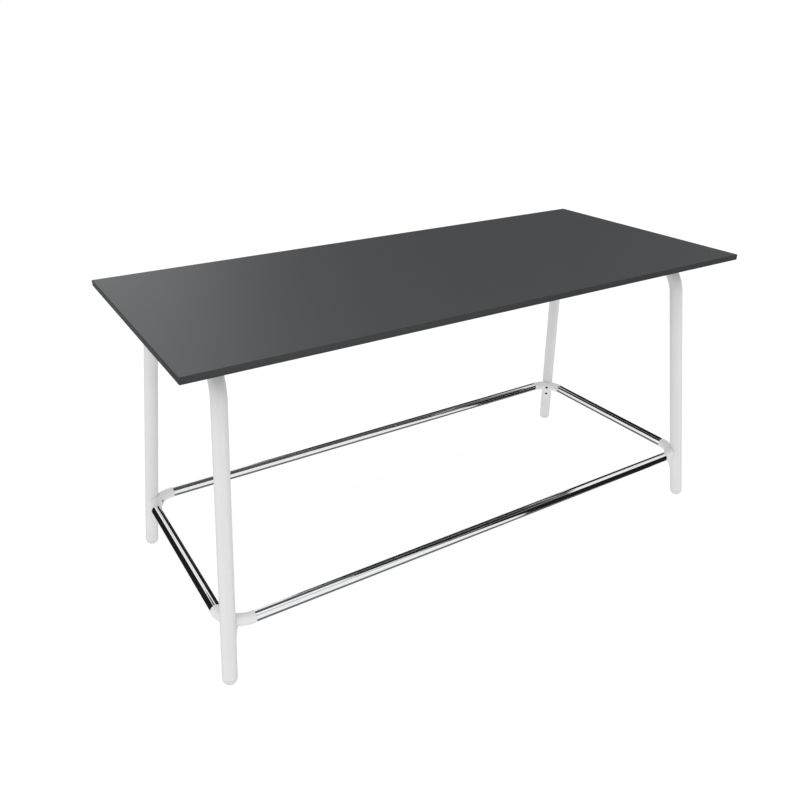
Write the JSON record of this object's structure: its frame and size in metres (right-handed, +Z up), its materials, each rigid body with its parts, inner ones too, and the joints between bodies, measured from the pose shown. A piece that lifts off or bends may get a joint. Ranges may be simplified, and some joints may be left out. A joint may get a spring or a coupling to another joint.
{
  "type": "standing meeting table",
  "caption": "Long rectangular laminate top on splayed white tube end frames, with a chrome footrest ring held to the legs by corner brackets and domed levelling feet.",
  "frame": {"origin": "on the floor under the middle of the top", "axes": "+X along the table, +Y to the rear, +Z up; the picture looks from the left and the front"},
  "size_m": [1.8, 0.8, 0.9056],
  "materials": {
    "laminate": "fine-grained matt laminate, anthracite",
    "chipboard": "raw chipboard",
    "white_paint": "smooth white powder coat",
    "white_plastic": "moulded, satin white",
    "chrome": "mirror chrome plate",
    "zinc_steel": "zinc plated",
    "black_steel": "black oxide",
    "grey_plastic": "moulded grey"
  },
  "bodies": {
    "table": {"tabletop_laminate": "laminate", "tabletop_backing_sheet": "laminate", "edge_band_front": "laminate", "edge_band_right": "laminate", "edge_band_rear": "laminate", "edge_band_left": "laminate", "tabletop_core": "chipboard", "end_frame_left": "white_paint", "end_frame_right": "white_paint", "beam_front": "white_paint", "beam_rear": "white_paint", "footrest_tube_front": "chrome", "footrest_tube_rear": "chrome", "footrest_tube_left": "chrome", "footrest_tube_right": "chrome", "corner_bracket_left_front": "white_plastic", "corner_bracket_left_rear": "white_plastic", "corner_bracket_right_front": "white_plastic", "corner_bracket_right_rear": "white_plastic", "leg_insert_left_front": "grey_plastic", "leg_insert_left_rear": "grey_plastic", "leg_insert_right_front": "grey_plastic", "leg_insert_right_rear": "grey_plastic", "top_screw_left_front_outer": "zinc_steel", "top_screw_left_front_inner": "zinc_steel", "top_screw_left_rear_outer": "zinc_steel", "top_screw_left_rear_inner": "zinc_steel", "top_screw_right_front_outer": "zinc_steel", "top_screw_right_front_inner": "zinc_steel", "top_screw_right_rear_outer": "zinc_steel", "top_screw_right_rear_inner": "zinc_steel", "top_screw_beam_front_outer": "zinc_steel", "top_screw_beam_front_inner": "zinc_steel", "top_screw_beam_rear_outer": "zinc_steel", "top_screw_beam_rear_inner": "zinc_steel", "beam_bolt_left_front": "zinc_steel", "beam_bolt_left_rear": "zinc_steel", "beam_bolt_right_front": "zinc_steel", "beam_bolt_right_rear": "zinc_steel", "saddle_washer_left_front": "zinc_steel", "saddle_washer_left_rear": "zinc_steel", "saddle_washer_right_front": "zinc_steel", "saddle_washer_right_rear": "zinc_steel", "bracket_screw_left_front_upper": "black_steel", "bracket_screw_left_front_lower": "black_steel", "bracket_screw_left_rear_upper": "black_steel", "bracket_screw_left_rear_lower": "black_steel", "bracket_screw_right_front_upper": "black_steel", "bracket_screw_right_front_lower": "black_steel", "bracket_screw_right_rear_upper": "black_steel", "bracket_screw_right_rear_lower": "black_steel"},
    "foot_left_front": {"foot_dome_left_front": "white_plastic", "foot_stem_left_front": "zinc_steel"},
    "foot_left_rear": {"foot_dome_left_rear": "white_plastic", "foot_stem_left_rear": "zinc_steel"},
    "foot_right_front": {"foot_dome_right_front": "white_plastic", "foot_stem_right_front": "zinc_steel"},
    "foot_right_rear": {"foot_dome_right_rear": "white_plastic", "foot_stem_right_rear": "zinc_steel"}
  },
  "joints": [
    {"name": "foot_left_front_screws_out", "type": "slide", "parent": "table", "child": "foot_left_front", "axis": [-0.104, -0.104, -0.9891], "range_m": [0, 0.01]},
    {"name": "foot_left_rear_screws_out", "type": "slide", "parent": "table", "child": "foot_left_rear", "axis": [-0.104, 0.104, -0.9891], "range_m": [0, 0.01]},
    {"name": "foot_right_front_screws_out", "type": "slide", "parent": "table", "child": "foot_right_front", "axis": [0.104, -0.104, -0.9891], "range_m": [0, 0.01]},
    {"name": "foot_right_rear_screws_out", "type": "slide", "parent": "table", "child": "foot_right_rear", "axis": [0.104, 0.104, -0.9891], "range_m": [0, 0.01]}
  ]
}
